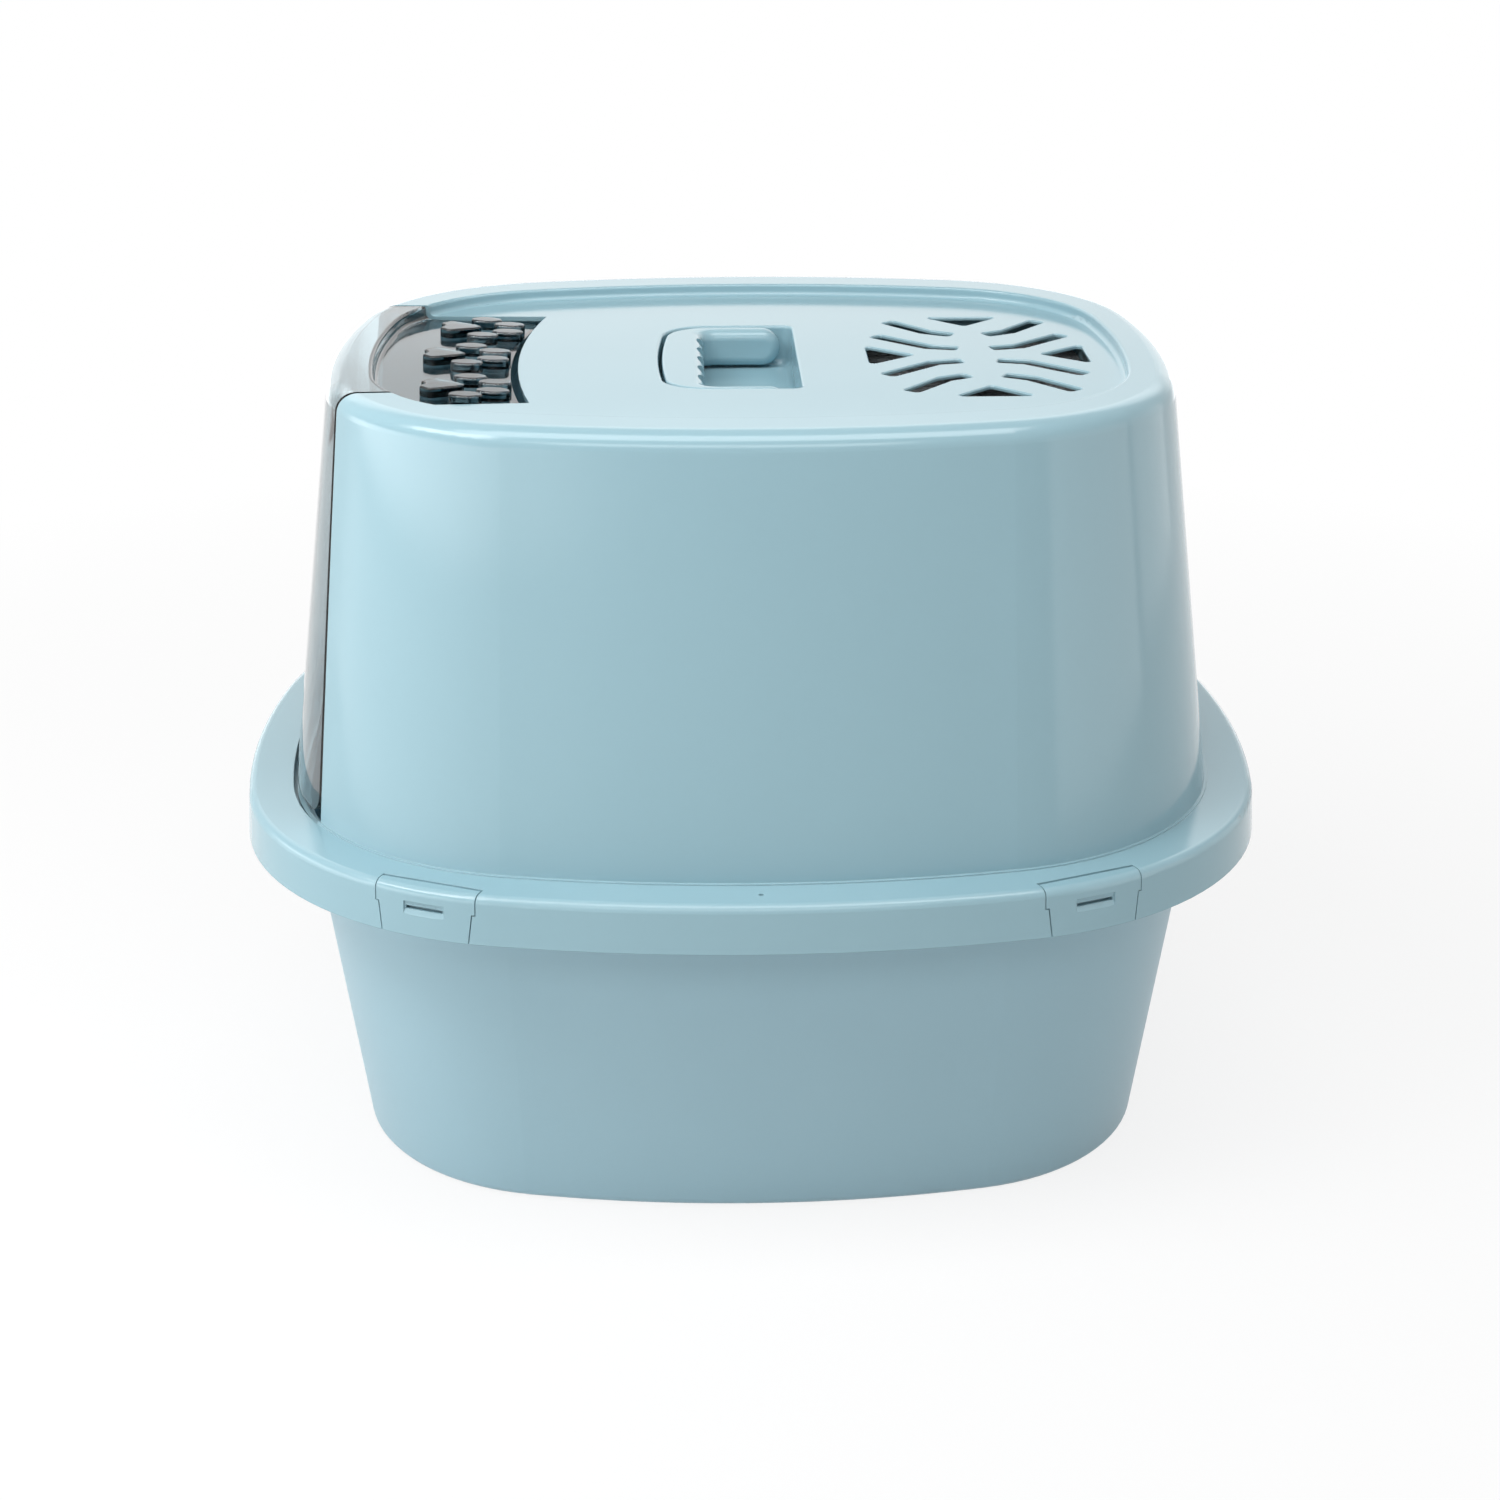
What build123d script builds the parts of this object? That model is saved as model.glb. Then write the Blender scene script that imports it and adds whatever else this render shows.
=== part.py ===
"""Covered litter box: a deep pan, a latched-on hood, a smoked swing door and a sunk carry handle.

Millimetres. +Z is up, the swing door faces -X, and the origin is the middle of the base on the floor.
"""
import os
from math import atan, atan2, cos, degrees, hypot, radians, sin, sqrt, tan

from build123d import *

# Whole object
LENGTH = 560.0  # over the skirt, front to rear
WIDTH = 484.0  # over the skirt, side to side
HEIGHT = 426.0  # floor to the top of the roof ridge

# Plan shape, eight tangent arcs, measured on the outside of the skirt
CORNER_R = 176.0
SIDE_BOW_R = 670.0
END_BOW_R = 550.0

# Hood
HOOD_WALL = 2.8
SKIRT_BOTTOM = 178.0
LEDGE_TOP = 203.4
SKIRT_LEAN = 1.6  # how far the skirt leans in over its height
SKIRT_ROUND = 4.4
FOOT_INSET = 27.4  # from the skirt to the foot of the hood wall
FOOT_STEP = 1.5  # width of the small step round the foot of the wall
FOOT_STEP_RISE = 0.8
WALL_DRAFT = 7.475  # degrees
ROOF_ROUND = 11.0
RIDGE_ROUND = 1.6
ROOF_SINK = 6.5  # depth of the sunk roof inside the ridge
ROOF_CORNER_ROUND = 2.6
ROOF_INSET_END = 80.0  # from the skirt to the inner edge of the ridge
ROOF_INSET_SIDE = 87.0
ROOF_CORNER_R = 94.0

# Pan
PAN_WALL = 3.0
PAN_FLOOR = 3.2
PAN_FOOT_INSET = 58.0
PAN_DRAFT = 7.84  # degrees
PAN_FOOT_ROUND = 5.0
PAN_FLOOR_ROUND = 12.0
PAN_BASE_RECESS = 1.2
PAN_BASE_RIM = 16.0
FLANGE_TOP = 196.0
FLANGE_THICK = 2.6
FLANGE_INSET = 4.6  # from the skirt to the edge of the pan's flange
FLANGE_LIP_DROP = 11.7  # from the top of the flange to the bottom of its lip
FLANGE_ROUND = 1.2

# Door opening in the hood, and the swing door in it
OPENING_HALF_TOP = 99.3  # at the roof, at the back corners of the opening
OPENING_SPLAY = 0.049  # how much wider it gets for each mm towards the front
OPENING_DRAFT = 0.1235  # and for each mm down
OPENING_BACK = -124.0  # middle of the curved back edge
OPENING_BACK_R = 486.0
THRESHOLD_EXTRA = 2.0  # how far the opening in the ledge runs outside the wall
DOOR_WALL = 2.3
DOOR_PLATE = 3.4  # the paw plate is thicker than the front, as its counterweight
DOOR_RIB = 3.0
DOOR_RIB_DROP = 9.0  # under the middle of the plate's thickness
DOOR_SIDE_GAP = 2.6
DOOR_BACK_GAP = 4.1
DOOR_BACK_R = 437.0
DOOR_FOOT_GAP = 3.4
DOOR_FOOT_ROUND = 9.0
DOOR_PLATE_SINK = 0.3  # below the sunk roof, where the plate meets the ridge
DOOR_PLATE_SLOPE = 2.55  # degrees, falling to the rear
PIVOT_X = -204.1  # over the door's own centre of mass
PIVOT_Z = 411.5
PIVOT_R = 2.5
PIVOT_RUN = 0.06  # radial clearance in the hood's bearing
PIVOT_BOSS_R = 6.0
PIVOT_BOSS_LENGTH = 9.0
PIVOT_ENGAGE = 6.0  # depth of the blind bearing hole
PIVOT_END_GAP = 0.4
CHEEK_THICK = 2.5
CHEEK_HALF_LENGTH = 9.0
CHEEK_DROP = 7.5  # below the pivot's axis

# Paw reliefs on the door's plate
PAW_HEIGHT = 5.3
PAW_ROUND = 1.2
PAW_PLACES = ((-159.8, 64.0), (-164.0, -1.0), (-159.8, -70.0))
PAW_PAD_LENGTH = 24.0
PAW_PAD_HALF = 11.6
PAW_PAD_NOTCH = 3.3
PAW_TIP_R = 4.5
PAW_PAD_ROUND = 2.4
TOE_LONG = 17.4
TOE_WIDE = 11.8
TOE_PLACES = ((13.0, 18.9), (26.4, 8.6))  # from the middle of the pad, mirrored

# Carry handle and the well it lies in
WELL_FRONT = -49.0
WELL_BACK = 25.8
WELL_HALF = 72.0
WELL_DEPTH = 22.4
WELL_END_BOW_R = 540.0
WELL_FRONT_R = 24.0
WELL_BACK_R = 5.0
WELL_ROUND = 1.6
WELL_FLOOR_R = 4.0
HANDLE_GAP = 1.9
REST_PAD_X = -40.0  # low pads on the well's floor, under the grip
REST_PAD_Y = 52.5
REST_PAD_SIDE = 6.0
HANDLE_SINK = 0.3
HANDLE_HEIGHT = 21.0
HANDLE_ARM = 8.4
HANDLE_GRIP = 23.0
HANDLE_INNER_R = 7.0
HANDLE_INNER_ROUND = 6.0
HANDLE_OUTER_ROUND = 1.6
HANDLE_PIVOT_X = 9.0
HANDLE_PIN_R = 4.0
HANDLE_PIN_RUN = 0.08
HANDLE_PIN_ENGAGE = 4.2
FINGERS = 5
FINGER_PITCH = 21.0
FINGER_R = 13.0
FINGER_DEPTH = 3.8

# Vent in the roof, filter pad and its clip-in grille
VENT_X = 124.0
VENT_END = 59.5  # from the middle to the base of the end triangles
VENT_SIDE = 91.5
TRIANGLE_TIP_R = 2.2
END_TRIANGLE_TIP = 34.0
END_TRIANGLE_HALF = 21.5
SIDE_TRIANGLE_TIP = 69.0
SIDE_TRIANGLE_HALF = 21.5
SLOT_WIDTH = 9.4
SLOT_ROUND = 2.4
VENT_THICK = 2.0  # the roof is thinner over the filter
VENT_BEVEL = 0.7
OUTER_SLOT = ((43.0, 80.5), (23.0, 54.5), (9.5, 47.0))  # mirrored four ways
INNER_SLOT = ((52.5, 45.5), (25.0, 18.5), (9.5, 14.5))
HOUSING_HALF_LENGTH = 64.0
HOUSING_HALF_WIDTH = 97.5
HOUSING_CORNER_R = 38.0
HOUSING_WALL = 2.2
HOUSING_DEPTH = 22.5  # below the top of the sunk roof
PAD_THICK = 8.0
PAD_GAP = 0.5
GRILLE_THICK = 2.4
GRILLE_BAR = 4.0
GRILLE_CELL = 22.0
GRILLE_RIM = 7.0
CLIP_WIDTH = 16.0
CLIP_THICK = 1.8
CLIP_REACH = 9.0
CLIP_BARB = 1.2
CLIP_CLEAR = 0.3

# Latches
LATCH_ANGLE = 67.3  # degrees round the corner arc, from the long axis
LATCH_WIDTH = 54.6
LATCH_FOOT_TOP = 51.2
LATCH_FOOT_BOTTOM = 47.6
LATCH_STEP_Z = 193.5
LATCH_GAP = 0.5
LATCH_SEAM = 12.3  # from the skirt in to the latch's hinge seam
LATCH_BARREL_R = 1.8
LATCH_PIN_R = 1.0
LATCH_PIN_RUN = 0.05
LATCH_PIN_REACH = 3.0
LATCH_BOSS_WIDTH = 4.6
LATCH_BOSS_DROP = 2.2
LATCH_SLOT_WIDTH = 22.2
LATCH_SLOT_HEIGHT = 6.8
LATCH_SLOT_Z = 192.7
LATCH_SLOT_DEPTH = 1.3
LATCH_SLIT = 1.8
LATCH_KNUCKLE_X = 13.0  # two small notches in the top edge, at the hinge seam
LATCH_KNUCKLE_LONG = 5.6
LATCH_KNUCKLE_WIDE = 0.9
LATCH_HOOK_WIDTH = 24.0
LATCH_HOOK_REACH = 2.0  # how far the hook goes under the pan's lip
LATCH_HOOK_HEIGHT = 3.2
LATCH_HOOK_RUN = 0.25

# Small gate recess in the middle of each long ledge
GATE_R = 1.3
GATE_DEPTH = 1.0
GATE_INSET = 15.5

# Worked out from the sizes above
HALF_LENGTH = LENGTH / 2
HALF_WIDTH = WIDTH / 2
ROOF_Z = HEIGHT - ROOF_SINK
FOOT_Z = LEDGE_TOP + FOOT_STEP_RISE
UNDER_LEDGE = LEDGE_TOP - HOOD_WALL
SKIRT_DRAFT = degrees(atan(SKIRT_LEAN / (LEDGE_TOP - SKIRT_BOTTOM)))
TALL = 2 * HEIGHT  # longer than anything it cuts
LATCH_AXIS_Z = LEDGE_TOP - LATCH_BARREL_R
LATCH_AXIS_OUT = CORNER_R - LATCH_SEAM + LATCH_BARREL_R
HANDLE_TOP = ROOF_Z - HANDLE_SINK
HANDLE_PIVOT_Z = HANDLE_TOP - HANDLE_HEIGHT / 2
GRILLE_TOP = ROOF_Z - HOUSING_DEPTH


def corner_centre(half_length, half_width, corner_r, side_r, end_r):
    """Centre of the arc that is tangent inside both the side's arc and the end's arc."""
    side_y, end_x = half_width - side_r, half_length - end_r
    a, b = side_r - corner_r, end_r - corner_r
    gap = hypot(end_x, side_y)
    along = (b * b - a * a + gap * gap) / (2 * gap)
    across = sqrt(b * b - along * along)
    ux, uy = -end_x / gap, side_y / gap
    return end_x + ux * along - uy * across, uy * along + ux * across


def bowed_plan(half_length, half_width, corner_r, side_r, end_r):
    """Face of eight tangent arcs: two bowed sides, two bowed ends and four corners."""
    cx, cy = corner_centre(half_length, half_width, corner_r, side_r, end_r)
    to_side = atan2(cy - (half_width - side_r), cx)
    to_end = atan2(cy, cx - (half_length - end_r))
    middle = (to_side + to_end) / 2

    def on_corner(angle):
        return cx + corner_r * cos(angle), cy + corner_r * sin(angle)

    side, knee, end = on_corner(to_side), on_corner(middle), on_corner(to_end)

    def arc(points, sx, sy):
        return ThreePointArc(*[(sx * x, sy * y) for x, y in points])

    far_end, far_side = (half_length, 0), (0, half_width)
    arcs = [
        arc(((end[0], -end[1]), far_end, end), 1, 1),
        arc((end, knee, side), 1, 1),
        arc((side, far_side, (-side[0], side[1])), 1, 1),
        arc((side, knee, end), -1, 1),
        arc(((end[0], -end[1]), far_end, end), -1, -1),
        arc((end, knee, side), -1, -1),
        arc((side, far_side, (-side[0], side[1])), -1, -1),
        arc((side, knee, end), 1, -1),
    ]
    return make_face(Wire(arcs))


def plan(inset):
    """The skirt's outline drawn in by inset."""
    return bowed_plan(
        HALF_LENGTH - inset, HALF_WIDTH - inset, CORNER_R - inset, SIDE_BOW_R - inset, END_BOW_R - inset
    )


def roof_plan(grow=0.0):
    """The inner edge of the ridge, where the roof is sunk."""
    return bowed_plan(
        HALF_LENGTH - ROOF_INSET_END + grow,
        HALF_WIDTH - ROOF_INSET_SIDE + grow,
        ROOF_CORNER_R + grow,
        SIDE_BOW_R - ROOF_INSET_SIDE + grow,
        END_BOW_R - ROOF_INSET_END + grow,
    )


def raised(face, low, high, taper=0.0):
    """The face pushed up from low to high, leaning in by taper degrees."""
    return extrude(Pos(0, 0, low) * face, high - low, taper=taper)


def edges_at(shape, z, near=0.01):
    """Edges that lie wholly at one height."""
    found = [e for e in shape.edges() if abs(e.bounding_box().min.Z - z) < near]
    return ShapeList([e for e in found if abs(e.bounding_box().max.Z - z) < near])


def above(z, slope=0.0):
    """Block over the sunk roof's surface, which falls to the rear by slope degrees."""
    start = -(HALF_LENGTH - ROOF_INSET_END)
    block = Pos(0, 0, TALL / 2) * Box(LENGTH * 2, WIDTH, TALL)
    return Pos(start, 0, z) * Rot(0, slope, 0) * block


def sunk_roof(grow, z, slope, round_r):
    """Block that sinks the roof inside the ridge, with a rounded foot where round_r is given."""
    block = raised(roof_plan(grow), FOOT_Z, TALL) & above(z, slope)
    if round_r:
        foot = [e for e in block.edges() if e.bounding_box().max.Z < HEIGHT - RIDGE_ROUND]
        block = fillet(foot, round_r)
    return block


def crown_solid(inset):
    """Upper body as a solid block with its rounded shoulder, drawn in by inset."""
    block = raised(plan(FOOT_INSET + inset), FOOT_Z, HEIGHT - inset, WALL_DRAFT)
    return fillet(edges_at(block, HEIGHT - inset), ROOF_ROUND - inset)


def crown(wall, roof_z, slope, roof_thick):
    """Hollow upper body: leaning wall, rounded shoulder, ridge and sunk roof."""
    outside = crown_solid(0) - sunk_roof(0, roof_z, slope, ROOF_CORNER_ROUND)
    reach = HALF_LENGTH - ROOF_INSET_END + RIDGE_ROUND
    rim = [e for e in edges_at(outside, HEIGHT) if abs(e.bounding_box().max.X) < reach]
    rim = [e for e in rim if abs(e.bounding_box().max.Y) < HALF_WIDTH - ROOF_INSET_SIDE + RIDGE_ROUND]
    outside = fillet(rim, RIDGE_ROUND)
    inside = crown_solid(wall) - sunk_roof(wall, roof_z - roof_thick, slope, 0)
    return outside - inside


def opening_half(x, z):
    """Half the width of the door's opening, which widens downwards and towards the front."""
    back = OPENING_BACK + OPENING_BACK_R - sqrt(OPENING_BACK_R**2 - OPENING_HALF_TOP**2)
    return OPENING_HALF_TOP + OPENING_SPLAY * (back - x) + OPENING_DRAFT * (ROOF_Z - z)


def opening_sector(gap, back_x, back_r, low, foot_round=0.0):
    """Wedge that the door fills: drafted, splayed to the front, with a curved back edge."""

    def section(x):
        high = HEIGHT + ROOF_ROUND
        sides = ((-1, low), (1, low), (1, high), (-1, high))
        corners = [(s * (opening_half(x, z) - gap), z) for s, z in sides]
        return make_face(Polyline(*[(x, y, z) for y, z in corners], close=True))

    wedge = loft([section(-LENGTH), section(0)], ruled=True)
    if foot_round:
        wedge = fillet(edges_at(wedge, low).filter_by(lambda e: abs(e.center().Y) > gap), foot_round)
    behind = Pos(back_x + back_r, 0, low + TALL / 2) * Cylinder(back_r, TALL)
    return wedge - behind


def ring(outer_inset, inner_inset, low, high, taper=0.0):
    """Band between two outlines."""
    return raised(plan(outer_inset), low, high, taper) - raised(plan(inner_inset), low, high, taper)


def corner_point():
    """Centre of the skirt's corner arc in the +X +Y quarter."""
    return corner_centre(HALF_LENGTH, HALF_WIDTH, CORNER_R, SIDE_BOW_R, END_BOW_R)


def latch_frame(sx, sy):
    """Place of a latch: x along the skirt, y outwards from the corner's centre, z up."""
    cx, cy = corner_point()
    out = atan2(sy * sin(radians(LATCH_ANGLE)), sx * cos(radians(LATCH_ANGLE)))
    return Pos(sx * cx, sy * cy, 0) * Rot(0, 0, degrees(out) - 90)


def latch_outline(grow):
    """Front view of a latch: wide over the step, narrower and tapered under it."""
    wide, top, foot = (w / 2 + grow for w in (LATCH_WIDTH, LATCH_FOOT_TOP, LATCH_FOOT_BOTTOM))
    half = [(foot, SKIRT_BOTTOM - grow), (top, LATCH_STEP_Z - grow), (wide, LATCH_STEP_Z - grow)]
    half.append((wide, LEDGE_TOP + SKIRT_ROUND))
    points = half + [(-x, z) for x, z in reversed(half)]
    return make_face(Polyline(*[(x, 0, z) for x, z in points], close=True))


def latch_block(grow):
    """Everything inside a latch's outline, from its hinge seam outwards."""
    start = CORNER_R - LATCH_SEAM - grow
    block = extrude(Pos(0, start, 0) * latch_outline(grow), amount=LATCH_SEAM + CORNER_R, dir=(0, 1, 0))
    return block


def across(radius, half_width, out, z):
    """Cylinder along a latch's hinge axis."""
    return Pos(0, out, z) * Rot(0, 90, 0) * Cylinder(radius, 2 * half_width)


def latch(frame, skirt):
    """Latch cut from the skirt's own form, with hinge barrel, pins, finger slot and hook."""
    body = skirt & (frame * latch_block(0))
    nose = across(LATCH_BARREL_R, LATCH_WIDTH / 2, LATCH_AXIS_OUT, LATCH_AXIS_Z)
    pins = across(LATCH_PIN_R, LATCH_WIDTH / 2 + LATCH_PIN_REACH, LATCH_AXIS_OUT, LATCH_AXIS_Z)
    square = Pos(0, LATCH_AXIS_OUT - LATCH_BARREL_R, LATCH_AXIS_Z) * Box(
        LATCH_WIDTH, 2 * LATCH_BARREL_R, 4 * LATCH_BARREL_R
    )
    body = body - frame * square + frame * nose + frame * pins
    face = CORNER_R - SKIRT_LEAN * (LATCH_SLOT_Z - SKIRT_BOTTOM) / (LEDGE_TOP - SKIRT_BOTTOM)
    top, foot = LATCH_SLOT_Z + LATCH_SLOT_HEIGHT / 2, LATCH_SLOT_Z - LATCH_SLOT_HEIGHT / 2
    deep, slit_foot = face - LATCH_SLOT_DEPTH, LATCH_SLOT_Z - LATCH_SLIT / 2
    outside = face + LATCH_SLOT_DEPTH
    corners = ((outside, top), (deep, top), (deep, slit_foot), (face, foot), (outside, foot))
    scoop = make_face(Polyline(*[(-LATCH_SLOT_WIDTH / 2, y, z) for y, z in corners], close=True))
    body -= frame * extrude(scoop, amount=LATCH_SLOT_WIDTH, dir=(1, 0, 0))
    slit = Pos(0, face, LATCH_SLOT_Z) * Box(LATCH_SLOT_WIDTH - LATCH_SLIT, 4 * HOOD_WALL, LATCH_SLIT)
    body -= frame * slit
    for side in (1, -1):
        knuckle = Pos(side * LATCH_KNUCKLE_X, LATCH_AXIS_OUT - LATCH_BARREL_R, LEDGE_TOP)
        body -= frame * knuckle * Box(LATCH_KNUCKLE_LONG, 2 * LATCH_KNUCKLE_WIDE, 2 * LATCH_KNUCKLE_WIDE)
    return body + frame * latch_hook()


def latch_hook():
    """Hook under the pan's lip, its top turned about the hinge so that it swings clear."""
    lip_out, lip_z = CORNER_R - FLANGE_INSET, FLANGE_TOP - FLANGE_LIP_DROP
    clear = hypot(lip_out - LATCH_AXIS_OUT, LATCH_AXIS_Z - lip_z) + LATCH_HOOK_RUN
    inner = lip_out - LATCH_HOOK_REACH
    outer = CORNER_R - HOOD_WALL
    low = lip_z - LATCH_HOOK_HEIGHT
    bar = Pos(0, (inner + outer) / 2, (low + lip_z) / 2) * Box(
        LATCH_HOOK_WIDTH, outer - inner, lip_z - low
    )
    return bar - across(clear, LATCH_HOOK_WIDTH, LATCH_AXIS_OUT, LATCH_AXIS_Z)


def latch_bosses():
    """Bearing blocks under the ledge at the two ends of a latch's hinge."""
    blocks = []
    inner = LATCH_WIDTH / 2 + LATCH_GAP
    for side in (1, -1):
        x = side * (inner + LATCH_BOSS_WIDTH / 2)
        low = UNDER_LEDGE - LATCH_BOSS_DROP
        blocks.append(
            Pos(x, LATCH_AXIS_OUT, (low + LEDGE_TOP) / 2)
            * Box(LATCH_BOSS_WIDTH, 4 * LATCH_BARREL_R, LEDGE_TOP - low)
        )
    reach = LATCH_WIDTH / 2 + LATCH_PIN_REACH + LATCH_GAP
    bore = across(LATCH_PIN_R + LATCH_PIN_RUN, reach, LATCH_AXIS_OUT, LATCH_AXIS_Z)
    return blocks, bore


def well_plan(inset):
    """D-shaped outline of the handle well, drawn in by inset."""
    front, back, half = WELL_FRONT + inset, WELL_BACK - inset, WELL_HALF - inset
    bow = WELL_END_BOW_R - sqrt(WELL_END_BOW_R**2 - half**2)
    edges = [
        ThreePointArc((front + bow, -half), (front, 0), (front + bow, half)),
        Line((front + bow, half), (back, half)),
        Line((back, half), (back, -half)),
        Line((back, -half), (front + bow, -half)),
    ]
    face = make_face(Wire(edges))
    front_corners = [v for v in face.vertices() if v.X < 0]
    face = fillet(front_corners, WELL_FRONT_R - inset)
    back_corners = face.vertices().sort_by(Axis.X)[-2:]
    return fillet(back_corners, WELL_BACK_R - inset / 2)


def handle_pins(radius, reach):
    """Both pivot pins of the handle, out through the well's side walls."""
    return Pos(HANDLE_PIVOT_X, 0, HANDLE_PIVOT_Z) * along_y(radius, 2 * (WELL_HALF + reach))


def carry_handle():
    """U-shaped handle: flat outside, round inside and at its ends, with finger hollows."""
    low = HANDLE_TOP - HANDLE_HEIGHT
    grip_back = WELL_FRONT + HANDLE_GAP + HANDLE_GRIP
    inner_half = WELL_HALF - HANDLE_GAP - HANDLE_ARM
    body = raised(well_plan(HANDLE_GAP), low, HANDLE_TOP)
    space = Pos(grip_back + LENGTH / 2, 0) * RectangleRounded(LENGTH, 2 * inner_half, HANDLE_INNER_R)
    body -= raised(space, low, HANDLE_TOP)
    end_round = Pos(HANDLE_PIVOT_X, 0, HANDLE_PIVOT_Z) * along_y(HANDLE_HEIGHT / 2, WIDTH)
    front = Pos(HANDLE_PIVOT_X - LENGTH / 2, 0, HANDLE_PIVOT_Z) * Box(LENGTH, WIDTH, HANDLE_HEIGHT)
    body = body & (end_round + front)
    for round_r, inner in ((HANDLE_INNER_ROUND, True), (HANDLE_OUTER_ROUND, False)):
        rims = edges_at(body, low) + edges_at(body, HANDLE_TOP)
        rims = [e for e in rims if e.center().X < HANDLE_PIVOT_X - 1]
        ends = [e for e in body.edges() if e.center().X > HANDLE_PIVOT_X + 1]
        rims += [e for e in ends if e.bounding_box().size.Y < 1]
        space_side = [e.center().X > grip_back - 1 and abs(e.center().Y) < inner_half + 1 for e in rims]
        body = fillet([e for e, there in zip(rims, space_side) if there == inner], round_r)
    for i in range(FINGERS):
        y = (i - (FINGERS - 1) / 2) * FINGER_PITCH
        hollow = Pos(grip_back + FINGER_R - FINGER_DEPTH, y, HANDLE_PIVOT_Z)
        body -= hollow * Cylinder(FINGER_R, 2 * HANDLE_HEIGHT)
    pins = handle_pins(HANDLE_PIN_R, HANDLE_PIN_ENGAGE)
    middle = Pos(HANDLE_PIVOT_X, 0, HANDLE_PIVOT_Z) * Box(
        HANDLE_HEIGHT, 2 * (inner_half + HANDLE_ARM / 2), HANDLE_HEIGHT
    )
    return body + (pins - middle)


def vent_triangles():
    """Four triangular openings at the ends and sides of the vent."""
    shapes = Sketch()
    for s in (1, -1):
        end = Polyline(
            (s * VENT_END, END_TRIANGLE_HALF), (s * END_TRIANGLE_TIP, 0),
            (s * VENT_END, -END_TRIANGLE_HALF), close=True,
        )
        side = Polyline(
            (SIDE_TRIANGLE_HALF, s * VENT_SIDE), (0, s * SIDE_TRIANGLE_TIP),
            (-SIDE_TRIANGLE_HALF, s * VENT_SIDE), close=True,
        )
        for line in (end, side):
            face = make_face(line)
            shapes += fillet(face.vertices(), TRIANGLE_TIP_R)
    return shapes


def vent_slots():
    """Eight bent slots, four mirrored pairs either side of the middle rib."""
    shapes = Sketch()
    for points in (OUTER_SLOT, INNER_SLOT):
        for sx in (1, -1):
            for sy in (1, -1):
                slot = trace(Polyline(*[(sx * x, sy * y) for x, y in points]), SLOT_WIDTH)
                shapes += fillet(slot.vertices(), SLOT_ROUND)
    return shapes


def housing_plan(grow):
    """Rounded rectangle of the filter housing's inside."""
    return Pos(VENT_X, 0) * RectangleRounded(
        2 * (HOUSING_HALF_LENGTH + grow), 2 * (HOUSING_HALF_WIDTH + grow), HOUSING_CORNER_R + grow
    )


def clip_places():
    """Middle of each grille clip, on the housing's long walls."""
    for sx in (1, -1):
        for sy in (1, -1):
            yield VENT_X + sx * HOUSING_HALF_LENGTH / 3, sy, sy * HOUSING_HALF_WIDTH


def filter_grille():
    """Flat grille that closes the housing from below, held by four snap clips."""
    low = GRILLE_TOP - GRILLE_THICK
    plate = raised(housing_plan(HOUSING_WALL), low, GRILLE_TOP)
    pitch = GRILLE_CELL + GRILLE_BAR
    columns = int((2 * (HOUSING_HALF_LENGTH - GRILLE_RIM) + GRILLE_BAR) // pitch)
    rows = int((2 * (HOUSING_HALF_WIDTH - GRILLE_RIM) + GRILLE_BAR) // pitch)
    cells = Pos(VENT_X, 0) * Sketch(
        GridLocations(pitch, pitch, columns, rows) * Rectangle(GRILLE_CELL, GRILLE_CELL)
    )
    plate -= raised(cells & housing_plan(-GRILLE_RIM), low, GRILLE_TOP)
    for x, side, y in clip_places():
        inner = y - side * (CLIP_CLEAR + CLIP_THICK)
        tongue = Pos(x, inner + side * CLIP_THICK / 2, GRILLE_TOP + CLIP_REACH / 2) * Box(
            CLIP_WIDTH, CLIP_THICK, CLIP_REACH
        )
        middle = Pos(x, inner + side * (CLIP_THICK + CLIP_BARB) / 2, GRILLE_TOP + CLIP_REACH - CLIP_BARB)
        barb = middle * Box(CLIP_WIDTH, CLIP_THICK + CLIP_BARB, 2 * CLIP_BARB)
        plate += tongue + barb
    return plate


def clip_windows():
    """Slots in the housing wall that the grille's barbs snap into."""
    for x, side, y in clip_places():
        z = GRILLE_TOP + CLIP_REACH - CLIP_BARB
        yield Pos(x, y + side * HOUSING_WALL / 2, z) * Box(
            CLIP_WIDTH + 4 * CLIP_CLEAR, 3 * HOUSING_WALL, 2 * (CLIP_BARB + CLIP_CLEAR)
        )


def filter_pad():
    """Carbon felt on the grille, cut back round the clips."""
    pad = raised(housing_plan(-PAD_GAP), GRILLE_TOP, GRILLE_TOP + PAD_THICK)
    for x, side, y in clip_places():
        depth = 2 * (CLIP_THICK + CLIP_CLEAR + 2 * PAD_GAP)
        pad -= Pos(x, y, GRILLE_TOP) * Box(CLIP_WIDTH + 4 * PAD_GAP, depth, 4 * PAD_THICK)
    return pad


def skirt_solid():
    """Ledge and skirt as a solid block, before it is hollowed."""
    block = raised(plan(0), SKIRT_BOTTOM, LEDGE_TOP, SKIRT_DRAFT)
    return fillet(edges_at(block, LEDGE_TOP), SKIRT_ROUND)


def skirt_shell():
    """Ledge and skirt of one thickness, open underneath, without the wall's foot."""
    hollow = raised(plan(HOOD_WALL), SKIRT_BOTTOM, UNDER_LEDGE, SKIRT_DRAFT)
    hollow = fillet(edges_at(hollow, UNDER_LEDGE), SKIRT_ROUND - HOOD_WALL)
    return skirt_solid() - hollow


def along_y(radius, length):
    """Cylinder whose axis is the part's Y axis."""
    return Rot(90, 0, 0) * Cylinder(radius, length)


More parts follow.
